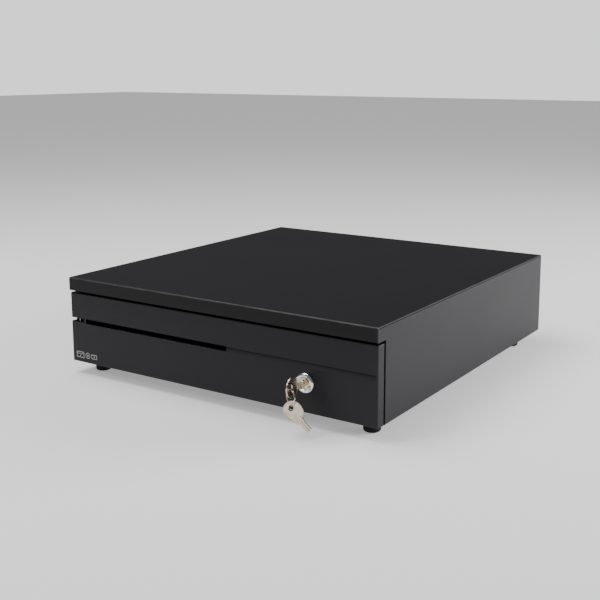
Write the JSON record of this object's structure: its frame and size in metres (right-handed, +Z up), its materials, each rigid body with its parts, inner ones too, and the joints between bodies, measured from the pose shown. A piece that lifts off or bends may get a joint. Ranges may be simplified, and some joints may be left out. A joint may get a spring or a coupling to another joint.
{
  "type": "cash drawer",
  "caption": "Steel cash drawer with a media slot, key lock, roller slides, electric latch and a till insert with bill and coin compartments.",
  "frame": {"origin": "on the surface it stands on, under the middle of the whole object's box, keys included", "axes": "+Z up, +X to the right seen from the front, +Y towards the back; the drawer opens towards -Y"},
  "size_m": [0.41, 0.4587, 0.114],
  "materials": {
    "black_powder_coat": "satin black fine-texture powder coat",
    "zinc_steel": "bright zinc-plated sheet",
    "lock_chrome": "polished chrome on die-cast zinc",
    "key_nickel": "nickel-plated brass, lightly worn",
    "turned_steel": "bright turned steel",
    "screw_steel": "black zinc screws",
    "black_plastic": "fine-grained moulded plastic",
    "white_nylon": "natural nylon",
    "foot_rubber": "matt black rubber",
    "copper_winding": "enamelled copper wire",
    "badge_grey": "light grey print"
  },
  "bodies": {
    "housing": {"chassis": "black_powder_coat", "top_cover": "black_powder_coat", "back_panel": "black_powder_coat", "rubber_feet": "foot_rubber", "foot_screws": "screw_steel", "back_screws": "screw_steel", "housing_rail_left": "zinc_steel", "housing_rail_right": "zinc_steel", "tilt_guard_left": "zinc_steel", "tilt_guard_right": "zinc_steel", "front_roller_axles": "turned_steel", "lock_keeper": "zinc_steel", "latch_bracket": "zinc_steel", "latch_pin": "turned_steel", "solenoid_frame": "zinc_steel", "solenoid_bobbin": "black_plastic", "solenoid_winding": "copper_winding", "eject_springs": "turned_steel", "spring_guides": "black_plastic", "drawer_switch": "black_plastic", "cable_socket": "black_plastic"},
    "drawer": {"drawer_front": "black_powder_coat", "drawer_tray": "zinc_steel", "media_guide": "zinc_steel", "till_base": "black_plastic", "coin_tray": "black_plastic", "bill_dividers": "black_plastic", "clip_axle": "turned_steel", "drawer_rail_left": "zinc_steel", "drawer_rail_right": "zinc_steel", "rear_roller_axles": "turned_steel", "lock_barrel": "lock_chrome", "lock_nut": "lock_chrome", "striker": "zinc_steel", "front_badge": "badge_grey"},
    "lock_core": {"lock_plug": "key_nickel", "lock_cam": "zinc_steel", "cam_screw": "screw_steel", "lock_key": "key_nickel"},
    "ring": {"key_ring": "key_nickel"},
    "spare": {"spare_key": "key_nickel"},
    "latch": {"latch_hook": "zinc_steel"},
    "plunger": {"solenoid_plunger": "turned_steel"},
    "button": {"switch_button": "black_plastic"},
    "clip_1": {"bill_clip_1": "black_plastic"},
    "clip_2": {"bill_clip_2": "black_plastic"},
    "clip_3": {"bill_clip_3": "black_plastic"},
    "clip_4": {"bill_clip_4": "black_plastic"},
    "clip_5": {"bill_clip_5": "black_plastic"},
    "front_roller_left_body": {"front_roller_left": "white_nylon"},
    "front_roller_right_body": {"front_roller_right": "white_nylon"},
    "rear_roller_left_body": {"rear_roller_left": "white_nylon"},
    "rear_roller_right_body": {"rear_roller_right": "white_nylon"}
  },
  "joints": [
    {"name": "drawer_slide", "type": "slide", "parent": "housing", "child": "drawer", "axis": [0, -1, 0], "range_m": [0, 0.3]},
    {"name": "lock_turn", "type": "hinge", "parent": "drawer", "child": "lock_core", "pos_m": [0.122, -0.196, 0.0457], "axis": [0, 1, 0], "range_deg": [0, 90]},
    {"name": "ring_swing", "type": "hinge", "parent": "lock_core", "child": "ring", "pos_m": [0.122, -0.2215, 0.0481], "axis": [1, 0, 0], "range_deg": [-35, 12]},
    {"name": "spare_key_swing", "type": "hinge", "parent": "ring", "child": "spare", "pos_m": [0.12371, -0.22226, 0.02881], "axis": [-0.225, 0.9744, 0], "range_deg": [-50, 5]},
    {"name": "latch_turn", "type": "hinge", "parent": "housing", "child": "latch", "pos_m": [0, 0.219, 0.024], "axis": [1, 0, 0], "range_deg": [0, 20]},
    {"name": "plunger_slide", "type": "slide", "parent": "housing", "child": "plunger", "axis": [0, 0, 1], "range_m": [-0.0031, 0]},
    {"name": "switch_press", "type": "slide", "parent": "housing", "child": "button", "axis": [0, 1, 0], "range_m": [0, 0.0012], "stiffness_N_per_m": 120},
    {"name": "clip_1_lift", "type": "hinge", "parent": "drawer", "child": "clip_1", "pos_m": [0, 0.184, 0.08], "axis": [-1, 0, 0], "range_deg": [0, 30], "stiffness_Nm_per_rad": 0.02, "springref_deg": -28.65},
    {"name": "clip_2_lift", "type": "hinge", "parent": "drawer", "child": "clip_2", "pos_m": [0, 0.184, 0.08], "axis": [-1, 0, 0], "range_deg": [0, 30], "stiffness_Nm_per_rad": 0.02, "springref_deg": -28.65},
    {"name": "clip_3_lift", "type": "hinge", "parent": "drawer", "child": "clip_3", "pos_m": [0, 0.184, 0.08], "axis": [-1, 0, 0], "range_deg": [0, 30], "stiffness_Nm_per_rad": 0.02, "springref_deg": -28.65},
    {"name": "clip_4_lift", "type": "hinge", "parent": "drawer", "child": "clip_4", "pos_m": [0, 0.184, 0.08], "axis": [-1, 0, 0], "range_deg": [0, 30], "stiffness_Nm_per_rad": 0.02, "springref_deg": -28.65},
    {"name": "clip_5_lift", "type": "hinge", "parent": "drawer", "child": "clip_5", "pos_m": [0, 0.184, 0.08], "axis": [-1, 0, 0], "range_deg": [0, 30], "stiffness_Nm_per_rad": 0.02, "springref_deg": -28.65},
    {"name": "front_roller_left_spin", "type": "hinge", "parent": "housing", "child": "front_roller_left_body", "pos_m": [-0.1955, -0.162, 0.0415], "axis": [1, 0, 0], "continuous": true},
    {"name": "front_roller_right_spin", "type": "hinge", "parent": "housing", "child": "front_roller_right_body", "pos_m": [0.1955, -0.162, 0.0415], "axis": [1, 0, 0], "continuous": true},
    {"name": "rear_roller_left_spin", "type": "hinge", "parent": "drawer", "child": "rear_roller_left_body", "pos_m": [-0.1955, 0.187, 0.041], "axis": [1, 0, 0], "continuous": true},
    {"name": "rear_roller_right_spin", "type": "hinge", "parent": "drawer", "child": "rear_roller_right_body", "pos_m": [0.1955, 0.187, 0.041], "axis": [1, 0, 0], "continuous": true}
  ],
  "couplings": [
    {"joint": "plunger_slide", "follows": "latch_turn", "m_per_rad": -0.008818},
    {"joint": "front_roller_left_spin", "follows": "drawer_slide", "rad_per_m": 181.82},
    {"joint": "front_roller_right_spin", "follows": "drawer_slide", "rad_per_m": 181.82},
    {"joint": "rear_roller_left_spin", "follows": "drawer_slide", "rad_per_m": 181.82},
    {"joint": "rear_roller_right_spin", "follows": "drawer_slide", "rad_per_m": 181.82}
  ]
}
